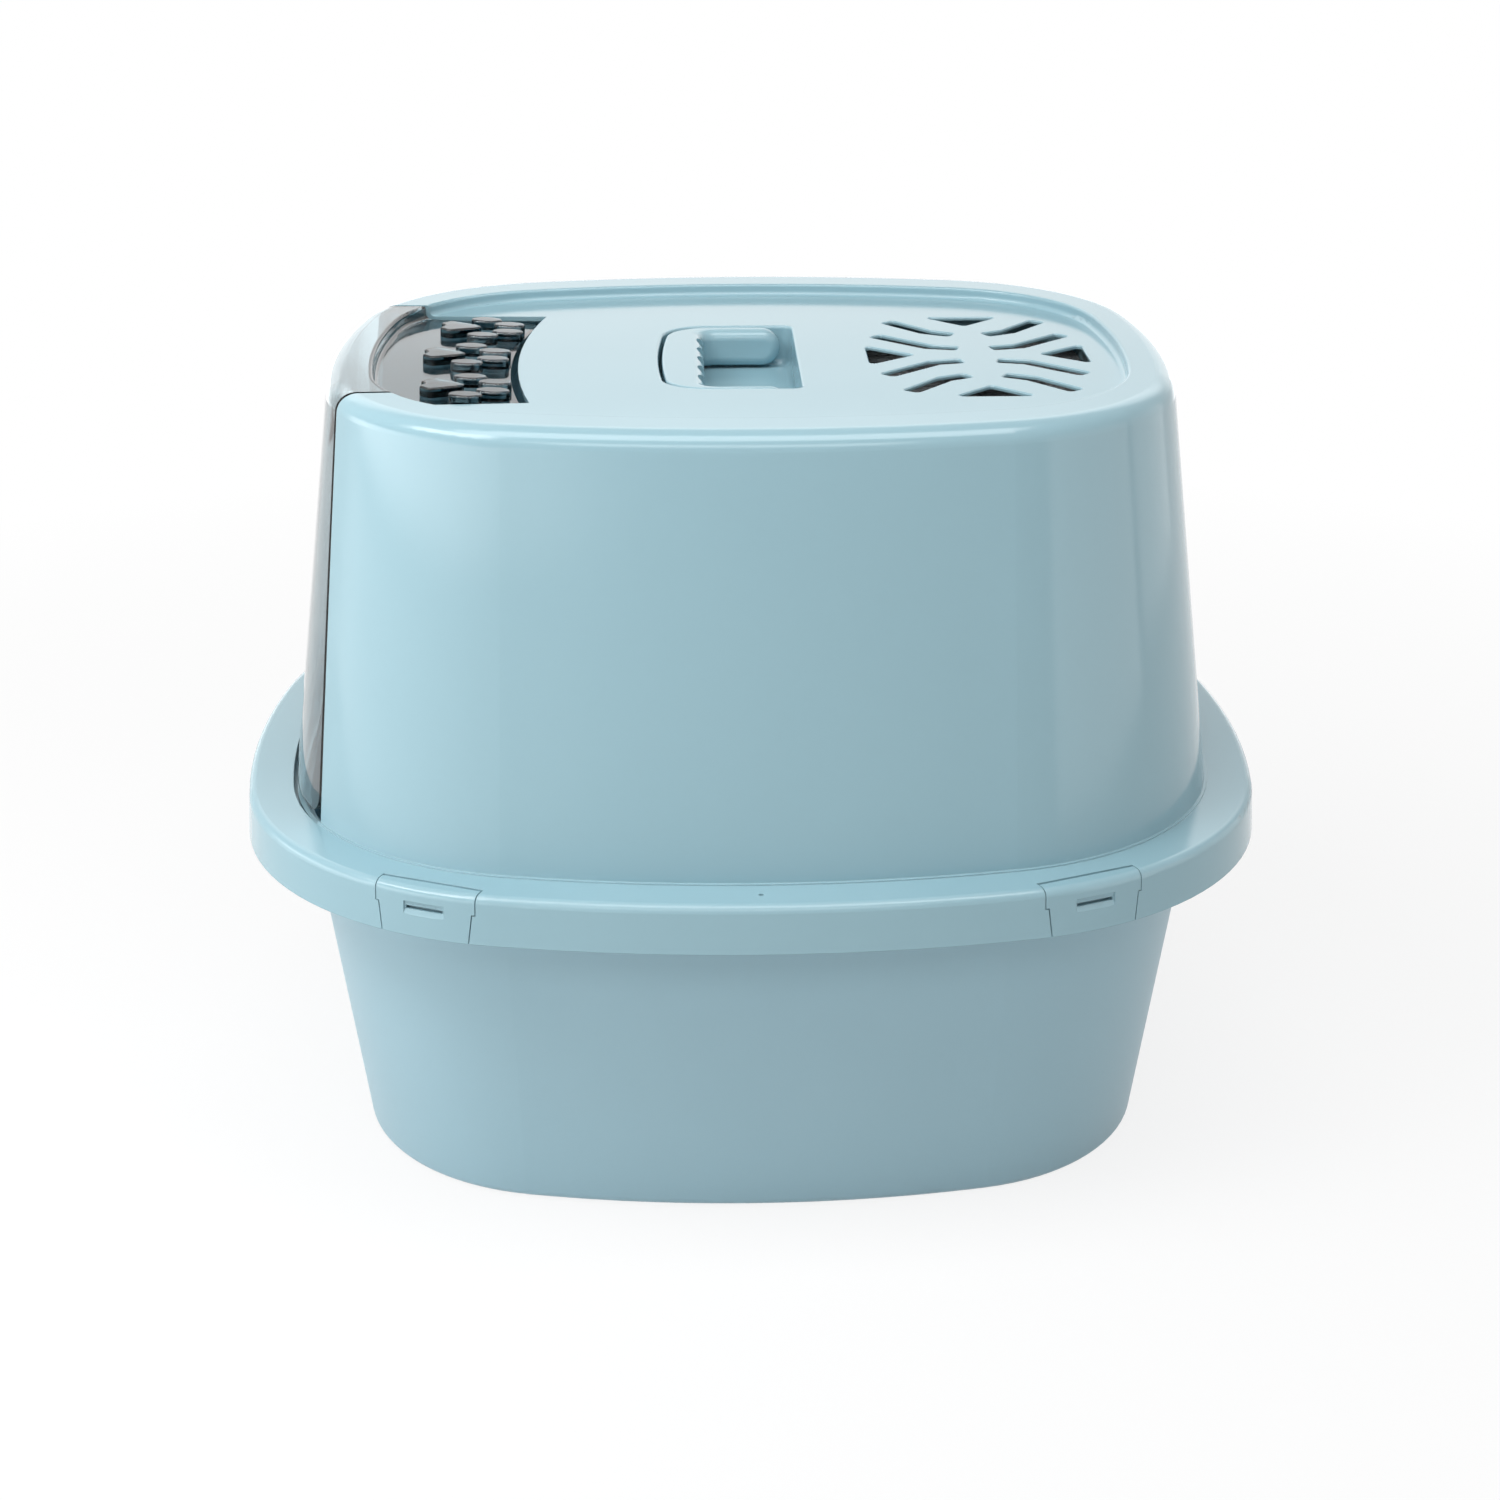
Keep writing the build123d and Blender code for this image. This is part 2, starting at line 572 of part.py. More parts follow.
def pivot_boss(side):
    """Bearing boss for one of the door's trunnions, beside the opening."""
    y = side * (opening_half(PIVOT_X, PIVOT_Z) + PIVOT_BOSS_LENGTH / 2)
    tube = Pos(PIVOT_X, y, PIVOT_Z) * along_y(PIVOT_BOSS_R, PIVOT_BOSS_LENGTH)
    middle = Pos(PIVOT_X, y, (PIVOT_Z + ROOF_Z) / 2)
    return tube + middle * Box(2 * PIVOT_BOSS_R, PIVOT_BOSS_LENGTH, ROOF_Z - PIVOT_Z)


def hood_top():
    """Crown with the handle's well sunk in its roof, and rest pads on the well's floor."""
    floor_z = ROOF_Z - WELL_DEPTH
    body = crown(HOOD_WALL, ROOF_Z, 0, HOOD_WALL)
    body += raised(well_plan(-HOOD_WALL), floor_z - HOOD_WALL, ROOF_Z)
    well = raised(well_plan(0), floor_z, ROOF_Z)
    well = fillet(edges_at(well, floor_z), WELL_FLOOR_R)
    body -= well
    rim = [e for e in edges_at(body, ROOF_Z) if WELL_FRONT - 1 < e.center().X < WELL_BACK + 1]
    body = fillet([e for e in rim if abs(e.center().Y) < WELL_HALF + 1], WELL_ROUND)
    pad_top = HANDLE_TOP - HANDLE_HEIGHT
    for side in (1, -1):
        socket_y = side * (WELL_HALF + HOOD_WALL)
        socket = Pos(HANDLE_PIVOT_X, socket_y, HANDLE_PIVOT_Z) * along_y(2 * HANDLE_PIN_R, 2 * HOOD_WALL)
        body += socket - well
        body += Pos(REST_PAD_X, side * REST_PAD_Y, (pad_top + floor_z) / 2) * Box(
            REST_PAD_SIDE, REST_PAD_SIDE, pad_top - floor_z
        )
    return body - handle_pins(HANDLE_PIN_R + HANDLE_PIN_RUN, HANDLE_PIN_ENGAGE + HANDLE_PIN_RUN)


def hood():
    """Upper half: skirt, ledge, leaning wall, ridge, sunk roof, well, vent and housing."""
    body = skirt_shell() - raised(plan(FOOT_INSET + HOOD_WALL), SKIRT_BOTTOM, TALL)
    body += ring(FOOT_INSET, FOOT_INSET + HOOD_WALL, FLANGE_TOP, FOOT_Z)
    body += ring(FOOT_INSET - FOOT_STEP, FOOT_INSET + HOOD_WALL, LEDGE_TOP, FOOT_Z)
    body += hood_top()
    inner_form = crown_solid(HOOD_WALL / 2)
    for side in (1, -1):
        body += pivot_boss(side) & inner_form

    body += raised(housing_plan(HOUSING_WALL), GRILLE_TOP, ROOF_Z - HOOD_WALL)
    body -= raised(housing_plan(0), GRILLE_TOP, ROOF_Z - VENT_THICK)
    body -= raised(Pos(VENT_X, 0) * (vent_triangles() + vent_slots()), ROOF_Z - 2 * HOOD_WALL, ROOF_Z)
    vent_rim = [e for e in edges_at(body, ROOF_Z) if abs(e.center().X - VENT_X) < HOUSING_HALF_LENGTH]
    body = chamfer([e for e in vent_rim if abs(e.center().Y) < HOUSING_HALF_WIDTH], VENT_BEVEL)
    for window in clip_windows():
        body -= window

    body -= opening_sector(0, OPENING_BACK, OPENING_BACK_R, LEDGE_TOP)
    threshold = raised(plan(FOOT_INSET - THRESHOLD_EXTRA), UNDER_LEDGE, FOOT_Z)
    body -= threshold & opening_sector(0, OPENING_BACK, OPENING_BACK_R, SKIRT_BOTTOM)

    for side in (1, -1):
        bore = along_y(PIVOT_R + PIVOT_RUN, 2 * PIVOT_ENGAGE)
        body -= Pos(PIVOT_X, side * opening_half(PIVOT_X, PIVOT_Z), PIVOT_Z) * bore
        body -= Pos(0, side * (HALF_WIDTH - GATE_INSET), LEDGE_TOP) * Cylinder(GATE_R, 2 * GATE_DEPTH)

    for sx in (1, -1):
        for sy in (1, -1):
            frame = latch_frame(sx, sy)
            blocks, bore = latch_bosses()
            for block in blocks:
                body += frame * block & skirt_solid()
            body -= frame * latch_block(LATCH_GAP)
            body -= frame * bore
    return body


def pan():
    """Lower half: deep drafted tub with a turned-down flange that carries the hood."""
    outside = raised(plan(PAN_FOOT_INSET), 0, FLANGE_TOP, -PAN_DRAFT)
    outside = fillet(edges_at(outside, 0), PAN_FOOT_ROUND)
    lean = PAN_FLOOR * tan(radians(PAN_DRAFT))
    inside = raised(plan(PAN_FOOT_INSET + PAN_WALL - lean), PAN_FLOOR, FLANGE_TOP, -PAN_DRAFT)
    inside = fillet(edges_at(inside, PAN_FLOOR), PAN_FLOOR_ROUND)
    flange = raised(plan(FLANGE_INSET), FLANGE_TOP - FLANGE_LIP_DROP, FLANGE_TOP)
    flange = fillet(edges_at(flange, FLANGE_TOP), FLANGE_ROUND)
    flange -= raised(
        plan(FLANGE_INSET + FLANGE_THICK), FLANGE_TOP - FLANGE_LIP_DROP, FLANGE_TOP - FLANGE_THICK
    )
    recess = raised(plan(PAN_FOOT_INSET + PAN_BASE_RIM), 0, PAN_BASE_RECESS)
    return flange + outside - inside - recess


def paw():
    """One relief: a notched pad and four toes, drawn flat with the toes towards +X."""
    back, tip = -PAW_PAD_LENGTH / 2, PAW_PAD_LENGTH / 2
    lobe = PAW_PAD_HALF / 2
    pad = make_face(
        Polyline(
            (back + lobe, -PAW_PAD_HALF), (back, -lobe), (back + PAW_PAD_NOTCH, 0), (back, lobe),
            (back + lobe, PAW_PAD_HALF), (tip - PAW_TIP_R, PAW_TIP_R), (tip, 0),
            (tip - PAW_TIP_R, -PAW_TIP_R), close=True,
        )
    )
    corners = [v for v in pad.vertices() if v.X < back + lobe + 1 or v.X > tip - 1]
    pad = fillet(corners, PAW_PAD_ROUND)
    toes = [Pos(x, s * y) * Ellipse(TOE_LONG / 2, TOE_WIDE / 2) for x, y in TOE_PLACES for s in (1, -1)]
    return [pad] + toes


def paw_reliefs():
    """Every pad and toe on the plate, with rounded upper edges, square to its slope."""
    start = -(HALF_LENGTH - ROOF_INSET_END)
    plate = Pos(start, 0, ROOF_Z - DOOR_PLATE_SINK) * Rot(0, DOOR_PLATE_SLOPE, 0)
    for x, y in PAW_PLACES:
        for face in paw():
            relief = extrude(Pos(x - start, y, -DOOR_PLATE / 2) * face, PAW_HEIGHT + DOOR_PLATE / 2)
            yield plate * fillet(edges_at(relief, PAW_HEIGHT), PAW_ROUND)


def door_back_rib(back_x):
    """Turned-down rear edge of the paw plate, which stiffens it and balances the front."""
    start = -(HALF_LENGTH - ROOF_INSET_END)
    deck = Pos(start, 0, ROOF_Z - DOOR_PLATE_SINK - DOOR_PLATE / 2) * Rot(0, DOOR_PLATE_SLOPE, 0)
    block = deck * Pos(LENGTH / 2, 0, -DOOR_RIB_DROP / 2) * Box(LENGTH, WIDTH, DOOR_RIB_DROP)
    return block & (Pos(back_x + DOOR_BACK_R, 0, 0) * Cylinder(DOOR_BACK_R + DOOR_RIB, 2 * TALL))


def swing_door():
    """Smoked front: wall, ridge and paw plate in one moulding, hung on two trunnions."""
    low = LEDGE_TOP + DOOR_FOOT_GAP
    back_x = OPENING_BACK - DOOR_BACK_GAP
    body = crown(DOOR_WALL, ROOF_Z - DOOR_PLATE_SINK, DOOR_PLATE_SLOPE, DOOR_PLATE)
    body += door_back_rib(back_x)
    body = body & opening_sector(DOOR_SIDE_GAP, back_x, DOOR_BACK_R, low, DOOR_FOOT_ROUND)
    for relief in paw_reliefs():
        body += relief
    inner_form = crown_solid(DOOR_WALL / 2)
    for side in (1, -1):
        half = opening_half(PIVOT_X, PIVOT_Z) - DOOR_SIDE_GAP
        cheek_y = side * (half - CHEEK_THICK / 2)
        top = HEIGHT - DOOR_WALL
        cheek = Pos(PIVOT_X, cheek_y, (top + PIVOT_Z - CHEEK_DROP) / 2) * Box(
            2 * CHEEK_HALF_LENGTH, CHEEK_THICK, top - PIVOT_Z + CHEEK_DROP
        )
        pin_length = CHEEK_THICK + DOOR_SIDE_GAP + PIVOT_ENGAGE - PIVOT_END_GAP
        pin_y = side * (half - CHEEK_THICK + pin_length / 2)
        body += (cheek & inner_form) + Pos(PIVOT_X, pin_y, PIVOT_Z) * along_y(PIVOT_R, pin_length)
    return body


def build():
    """Every node of the litter box, by name."""
    parts = {"pan": pan(), "hood": hood(), "swing_door": swing_door(), "carry_handle": carry_handle()}
    skirt = skirt_shell()
    for sx, end in ((-1, "front"), (1, "rear")):
        for sy, hand in ((-1, "right"), (1, "left")):
            parts[f"latch_{end}_{hand}"] = latch(latch_frame(sx, sy), skirt)
    parts["filter_grille"] = filter_grille()
    parts["filter_pad"] = filter_pad()
    return parts


os.makedirs("parts", exist_ok=True)
for name, shape in build().items():
    print(name, "solids", len(shape.solids()), "volume cm3", round(shape.volume / 1000, 1))
    export_step(shape, f"parts/{name}.step")
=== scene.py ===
# %% [markdown]
# # Covered litter box
#
# The box is a deep pan under a tall hood. The hood is held by four flip-up latches, and it has a smoked swing door,
# a carry handle sunk in its roof and a vent over a dark filter. The moulded parts come ready-made from the CAD
# frame, at their real size, so this lesson is about what makes them look like plastic: even shading over the big
# curved walls, gloss, soft light, and the small marks of moulding.

# %% Load the frame
import math

import bpy
from mathutils import Matrix, Vector


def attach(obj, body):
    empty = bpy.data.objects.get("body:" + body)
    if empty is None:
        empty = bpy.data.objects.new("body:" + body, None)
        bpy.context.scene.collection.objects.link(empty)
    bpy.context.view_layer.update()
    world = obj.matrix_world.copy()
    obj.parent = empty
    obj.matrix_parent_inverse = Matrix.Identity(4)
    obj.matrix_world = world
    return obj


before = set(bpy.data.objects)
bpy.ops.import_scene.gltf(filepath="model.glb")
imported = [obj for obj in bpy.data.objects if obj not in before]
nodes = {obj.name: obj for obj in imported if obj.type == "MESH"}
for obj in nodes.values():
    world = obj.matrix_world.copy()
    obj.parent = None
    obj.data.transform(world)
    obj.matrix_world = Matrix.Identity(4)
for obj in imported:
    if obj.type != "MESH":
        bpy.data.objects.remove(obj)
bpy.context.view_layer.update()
scene = bpy.context.scene
scene.view_settings.view_transform = "Standard"

# %% [markdown]
# ## Camera
#
# A photograph of a product like this is taken from far off with a long lens, so that the sides stay nearly
# parallel. The camera stands about a metre and a half away, a little above the roof and almost square to the side.

# %% Camera
PHOTO_SIDE = 1500  # pixels
LENS_PIXELS = 2650
SENSOR = 36.0  # millimetres
CAMERA_DISTANCE = 1.520
CAMERA_ELEVATION = math.radians(21.8)
CAMERA_AZIMUTH = math.radians(-1.59)
CAMERA_TARGET = Vector((0.0007, 0.0, 0.1896))


def make_camera():
    back = Vector((
        math.sin(CAMERA_AZIMUTH) * math.cos(CAMERA_ELEVATION),
        -math.cos(CAMERA_AZIMUTH) * math.cos(CAMERA_ELEVATION),
        math.sin(CAMERA_ELEVATION),
    ))
    data = bpy.data.cameras.new("camera")
    data.sensor_width = SENSOR
    data.lens = SENSOR * LENS_PIXELS / PHOTO_SIDE
    camera = bpy.data.objects.new("camera", data)
    scene.collection.objects.link(camera)
    camera.location = CAMERA_TARGET + back * CAMERA_DISTANCE
    camera.rotation_mode = "QUATERNION"
    camera.rotation_quaternion = (-back).to_track_quat("-Z", "Y")
    return camera


scene.camera = make_camera()
print("lens", round(scene.camera.data.lens, 1), "mm, at", [round(v, 3) for v in scene.camera.location])

# %% [markdown]
# ## Helpers for node trees
#
# Materials, lamps and scattered pieces are all trees of nodes, and a tree written out link by link is hard to read.
# These helpers take each input by its name, with either a plain value or the output of another node, so that a
# line of code says what goes into a node.

# %% Helpers for node trees
def set_input(tree, socket, value):
    if isinstance(value, bpy.types.NodeSocket):
        tree.links.new(value, socket)
    else:
        socket.default_value = value


def add_node(tree, kind, links=None, **values):
    """A node whose inputs, by name or by place, take a plain value or another node's output."""
    node = tree.nodes.new(kind)
    for name, value in values.items():
        set_input(tree, node.inputs[name.replace("_", " ")], value)
    for place, value in (links or {}).items():
        set_input(tree, node.inputs[place], value)
    return node


def math_node(tree, operation, *values):
    node = tree.nodes.new("ShaderNodeMath")
    node.operation = operation
    for socket, value in zip(node.inputs, values):
        set_input(tree, socket, value)
    return node.outputs[0]


def add_sockets(group, way, kind, **values):
    """New inputs or outputs of a group; a value of None leaves the socket as it comes."""
    for name, value in values.items():
        socket = group.interface.new_socket(name=name.replace("_", " "), in_out=way, socket_type=kind)
        if value is not None:
            socket.default_value = value


def inputs_of(group):
    return [item.name for item in group.interface.items_tree if item.in_out == "INPUT"]


print("helpers ready for", bpy.app.version_string)

# %% [markdown]
# ## Soft studio light
#
# Glossy plastic shows the room it stands in. A white world seen by the camera and in mirrors makes the page white
# and gives the smoked door its grey sheen, but as a light it would flatten the shading. So a light path switch
# gives it two strengths: full white where it is looked at, and a low, even fill where it lights a surface.

# %% Surround
SURROUND = 0.12
WHITE = (1.0, 1.0, 1.0, 1.0)


def seen_directly(tree):
    """1 for rays from the camera, from a mirror and through clear plastic; 0 for those that light a surface."""
    path = tree.nodes.new("ShaderNodeLightPath")
    value = path.outputs["Is Camera Ray"]
    for name in ("Is Glossy Ray", "Is Transmission Ray"):
        value = math_node(tree, "MAXIMUM", value, path.outputs[name])
    return value


def make_surround():
    world = bpy.data.worlds.new("surround")
    world.use_nodes = True
    tree = world.node_tree
    tree.nodes.clear()
    even = add_node(tree, "ShaderNodeBackground", Color=WHITE, Strength=SURROUND)
    seen = add_node(tree, "ShaderNodeBackground", Color=WHITE, Strength=1.0)
    mix = add_node(tree, "ShaderNodeMixShader", {0: seen_directly(tree), 1: even.outputs[0], 2: seen.outputs[0]})
    add_node(tree, "ShaderNodeOutputWorld", Surface=mix.outputs[0])
    scene.world = world


make_surround()
print("surround lights surfaces at", SURROUND)

# %% [markdown]
# A softbox is brightest in its middle and has no hard edge in a mirror. This group makes the same fall-off: it
# takes, for each edge of a panel, the share of the panel over which the light fades out.

# %% Node group for the soft edge of a lamp
FADE_EDGES = ("Start", "End", "Foot", "Top")


def feather_group():
    group = bpy.data.node_groups.new("feathered panel", "ShaderNodeTree")
    add_sockets(group, "INPUT", "NodeSocketFloat", **dict.fromkeys(FADE_EDGES, 0.05))
    add_sockets(group, "OUTPUT", "NodeSocketFloat", Level=None)
    given = group.nodes.new("NodeGroupInput").outputs
    place = group.nodes.new("ShaderNodeNewGeometry")
    split = add_node(group, "ShaderNodeSeparateXYZ", Vector=place.outputs["Parametric"])
    level = 1.0
    for edge, along in zip(FADE_EDGES, "XXYY"):
        reach = split.outputs[along]
        if edge in ("End", "Top"):
            reach = math_node(group, "SUBTRACT", 1.0, reach)
        ramp = group.nodes.new("ShaderNodeMapRange")
        ramp.interpolation_type = "SMOOTHSTEP"
        set_input(group, ramp.inputs["Value"], reach)
        set_input(group, ramp.inputs["From Max"], given[edge])
        level = math_node(group, "MULTIPLY", level, ramp.outputs[0])
    add_node(group, "NodeGroupOutput", Level=level)
    return group


FEATHER = feather_group()
print("lamp edges", inputs_of(FEATHER))

# %% [markdown]
# The lamps are placed by their mirror images. Two panels at the left, standing on the floor and fading towards the
# camera, are the pale band down the left of the wall. A pair at the right, with a gap between them, gives the
# slanted edge and the thin dark line there. The key lamp puts the bright streak on the shoulder, the panels
# overhead light the ledge and the roof, and those behind are what the flat roof mirrors. All of them are hidden
# from the camera itself, so that other views stay clear.
#
# A panel is given by the two floor points under its ends, taken anticlockwise round the box, so that it faces
# inwards, and by the heights of its lower and upper edge. Its radiance is the level at which its mirror image
# shows, so a lamp's power follows from its area.
#
# Light adds up, so each lamp can be rendered alone and the pictures weighed against the photograph to see how
# strong each should be. These levels began that way, and were then rounded and changed.

# %% Lamps
LEFT = (-1.45, 0.75), (-0.35, -2.30)
BEHIND = (1.6, 1.7), (-1.6, 1.7)
PANELS = (
    # name, floor points, lower and upper edge, radiance, lean in degrees, fade of the start, end, foot and top
    ("left low", *LEFT, 0.0, 0.30, 0.9, 0, 0.2, 0.7, 0.02, 0.3),
    ("left high", *LEFT, 0.25, 0.65, 3.3, 0, 0.2, 0.7, 0.2, 0.3),
    ("right front", (1.12, -1.10), (1.62, -0.02), 0.0, 1.1, 0.9, 0, 0.01, 0.01, 0.01, 0.5),
    ("right rear", (1.62, 0.06), (1.35, 0.85), 0.02, 1.1, 0.6, 0, 0.01, 0.03, 0.05, 0.5),
    ("over front", (-0.95, -2.2), (0.75, -2.2), 1.5, 2.2, 3.2, 80, 0.1, 0.1, 0.1, 0.1),
    ("over roof", (-0.95, -0.8), (0.75, -0.8), 1.5, 2.2, 4.4, 80, 0.1, 0.1, 0.1, 0.1),
    ("key", (-1.42, -0.05), (-0.72, -1.1), 1.1, 1.6, 8.2, 40, 0.3, 0.3, 0.3, 0.3),
    ("behind foot", *BEHIND, 0.0, 0.40, 1.0, 0, 0.2, 0.2, 0.05, 0.1),
    ("behind low", *BEHIND, 0.35, 0.9, 0.5, 10, 0.2, 0.2, 0.2, 0.3),
    ("behind high", *BEHIND, 0.8, 1.9, 1.0, 25, 0.2, 0.2, 0.3, 0.3),
)


def light_panel(name, foot_a, foot_b, low, high, radiance, lean, *fades):
    start, end = Vector((*foot_a, 0.0)), Vector((*foot_b, 0.0))
    lean = math.radians(lean)
    along = (end - start).normalized()
    inward = Vector((-along.y, along.x, 0.0))
    up = Vector((0.0, 0.0, 1.0)) * math.cos(lean) + inward * math.sin(lean)
    lamp = bpy.data.lights.new(name, "AREA")
    lamp.shape = "RECTANGLE"
    lamp.size, lamp.size_y = (end - start).length, high - low
    lamp.energy = radiance * math.pi * lamp.size * lamp.size_y
    lamp.use_nodes = True
    tree = lamp.node_tree
    group = tree.nodes.new("ShaderNodeGroup")
    group.node_tree = FEATHER
    for edge, share in zip(FADE_EDGES, fades):
        group.inputs[edge].default_value = share
    tree.links.new(group.outputs["Level"], tree.nodes["Emission"].inputs["Strength"])
    light = bpy.data.objects.new(name, lamp)
    scene.collection.objects.link(light)
    turn = Matrix((along, up, along.cross(up))).transposed()
    light.rotation_mode = "QUATERNION"
    light.rotation_quaternion = turn.to_quaternion()
    light.location = (start + end) / 2 + Vector((0, 0, low)) + up * ((high - low) / 2)
    light.visible_camera = False


for panel in PANELS:
    light_panel(*panel)

# %% [markdown]
# ## The floor
#
# The open floor has to come out as white as paper while the box keeps its soft shadow. Near the box the floor is
# partly lit paper and partly its own glow for the camera; farther out the glow takes over.

# %% Floor
FLOOR_RADIUS = 14.0
FLOOR_SIDES = 96
FLOOR_WHITE = (0.86, 0.86, 0.86, 1.0)
GLOW_NEAR, GLOW_FAR = 0.83, 1.0
GLOW_START, GLOW_END = 0.45, 1.3  # metres from the middle of the box


def white_sweep():
    material = bpy.data.materials.new("white_sweep")
    material.use_nodes = True
    tree = material.node_tree
    tree.nodes.clear()
    place = tree.nodes.new("ShaderNodeTexCoord")
    distance = add_node(tree, "ShaderNodeVectorMath", {0: place.outputs["Object"]})
    distance.operation = "LENGTH"
    ramp = add_node(
        tree, "ShaderNodeMapRange", Value=distance.outputs["Value"],
        From_Min=GLOW_START, From_Max=GLOW_END, To_Min=GLOW_NEAR, To_Max=GLOW_FAR,
    )
    paper = add_node(tree, "ShaderNodeBsdfDiffuse", Color=FLOOR_WHITE)
    glow = add_node(tree, "ShaderNodeEmission", Color=WHITE, Strength=1.0)
    share = math_node(tree, "MULTIPLY", seen_directly(tree), ramp.outputs[0])
    mix = add_node(tree, "ShaderNodeMixShader", {0: share, 1: paper.outputs[0], 2: glow.outputs[0]})
    add_node(tree, "ShaderNodeOutputMaterial", Surface=mix.outputs[0])
    return material


def make_floor():
    turns = [math.tau * i / FLOOR_SIDES for i in range(FLOOR_SIDES)]
    rim = [(FLOOR_RADIUS * math.cos(t), FLOOR_RADIUS * math.sin(t), 0.0) for t in turns]
    mesh = bpy.data.meshes.new("floor")
    mesh.from_pydata(rim, [], [range(FLOOR_SIDES)])
    mesh.materials.append(white_sweep())
    floor = bpy.data.objects.new("floor", mesh)
    scene.collection.objects.link(floor)


make_floor()
print("floor", 2 * FLOOR_RADIUS, "m across")

# %% [markdown]
# ## The plastics
#
# Real moulded walls are never quite flat: they pull in a little as they cool, which bends reflections, and the
# mould leaves a fine grain. Sharp edges also come out slightly rounded, and catch the light. One node group,
# "moulded surface", makes all these marks. Each material places it with its own values, and keeps its own shader.

# %% Node group for moulded surfaces
EDGE_SAMPLES = 6
GRAIN_DETAIL, WAVE_DETAIL = 2.0, 1.0


def moulded_surface_group():
    group = bpy.data.node_groups.new("moulded surface", "ShaderNodeTree")
    add_sockets(
        group, "INPUT", "NodeSocketFloat", Grain_Scale=1500.0, Grain_Height=0.000004, Wave_Scale=14.0,
        Wave_Height=0.00015, Edge_Round=0.0, Roughness=0.2, Roughness_Spread=0.04,
    )
    add_sockets(group, "OUTPUT", "NodeSocketVector", Normal=None)
    add_sockets(group, "OUTPUT", "NodeSocketFloat", Roughness=None, Tone=None)
    given = group.nodes.new("NodeGroupInput").outputs
    place = group.nodes.new("ShaderNodeTexCoord").outputs["Object"]

    def noise(scale, detail):
        texture = add_node(group, "ShaderNodeTexNoise", Vector=place, Scale=given[scale], Detail=detail)
        return texture.outputs["Fac"]

    def raised(height, distance, below):
        bump = add_node(
            group, "ShaderNodeBump", Strength=1.0, Height=height, Distance=given[distance], Normal=below,
        )
        return bump.outputs["Normal"]

    grain, wave = noise("Grain Scale", GRAIN_DETAIL), noise("Wave Scale", WAVE_DETAIL)
    edge = add_node(group, "ShaderNodeBevel", Radius=given["Edge Round"])
    edge.samples = EDGE_SAMPLES
    waved = raised(wave, "Wave Height", edge.outputs["Normal"])
    add_node(
        group, "NodeGroupOutput", Normal=raised(grain, "Grain Height", waved), Tone=wave,
        Roughness=math_node(group, "MULTIPLY_ADD", wave, given["Roughness Spread"], given["Roughness"]),
    )
    return group


MOULDED = moulded_surface_group()
print("moulded surface takes", inputs_of(MOULDED))

# %% [markdown]
# The hood, latches and handle are moulded in one pale blue and polished. The pan is the same blue but comes from a
# lightly etched mould, so its shine is broader. Neither blue is one flat colour: it wanders a little with the
# slow waves of the wall, as dye never mixes in quite evenly.

# %% Blue plastics
PLASTIC_IOR = 1.5


def new_material(name, ior):
    material = bpy.data.materials.new(name)
    material.use_nodes = True
    shader = material.node_tree.nodes["Principled BSDF"]
    shader.inputs["IOR"].default_value = ior
    return material, material.node_tree, shader


def mark_surface(tree, shader, **marks):
    group = tree.nodes.new("ShaderNodeGroup")
    group.node_tree = MOULDED
    for name, value in marks.items():
        group.inputs[name.replace("_", " ")].default_value = value
    tree.links.new(group.outputs["Roughness"], shader.inputs["Roughness"])
    tree.links.new(group.outputs["Normal"], shader.inputs["Normal"])
    return group


def plastic(name, pale, deep, **marks):
    """Opaque moulded plastic: its colour wanders between pale and deep."""
    material, tree, shader = new_material(name, PLASTIC_IOR)
    group = mark_surface(tree, shader, **marks)
    mix = tree.nodes.new("ShaderNodeMix")
    mix.data_type = "RGBA"
    mix.inputs["A"].default_value = (*deep, 1.0)
    mix.inputs["B"].default_value = (*pale, 1.0)
    tree.links.new(group.outputs["Tone"], mix.inputs["Factor"])
    tree.links.new(mix.outputs["Result"], shader.inputs["Base Color"])
    return material, shader


hood_blue, _ = plastic(
    "hood_blue", (0.286, 0.455, 0.517), (0.276, 0.443, 0.505),
    Roughness=0.10, Roughness_Spread=0.04, Wave_Height=0.00006, Grain_Height=0.0000015, Edge_Round=0.0005,
)
tray_blue, _ = plastic(
    "tray_blue", (0.318, 0.485, 0.556), (0.304, 0.470, 0.540),
    Roughness=0.36, Roughness_Spread=0.06, Wave_Height=0.0002, Grain_Height=0.000012, Grain_Scale=1100.0,
)
print("blue plastics", hood_blue.name, tray_blue.name)

# %% [markdown]
# The swing door is clear plastic smoked all the way through, so it gets darker the more of it one looks through:
# the flat flap is grey, and the thick paw prints on it are nearly black from the side. A tint on the surface
# can't do that. The shader stays clear, and the darkening is absorption inside the mesh, which is closed.

# %% Smoked clear plastic
SMOKE_LETS_THROUGH = (0.0, 0.27, 0.35, 1.0)
SMOKE_DENSITY = 150.0  # per metre
SMOKE_IOR = 1.59  # styrene
SMOKE_CLEAR = (0.92, 0.95, 0.96, 1.0)


def smoked_plastic():
    material, tree, shader = new_material("smoke", SMOKE_IOR)
    mark_surface(tree, shader, Roughness=0.02, Roughness_Spread=0.02, Grain_Height=0.0, Wave_Height=0.00005)
    shader.inputs["Base Color"].default_value = SMOKE_CLEAR
    shader.inputs["Transmission Weight"].default_value = 1.0
    haze = add_node(tree, "ShaderNodeVolumeAbsorption", Color=SMOKE_LETS_THROUGH, Density=SMOKE_DENSITY)
    tree.links.new(haze.outputs[0], tree.nodes["Material Output"].inputs["Volume"])
    return material


smoke = smoked_plastic()
print("smoked plastic", smoke.name, "density", SMOKE_DENSITY)

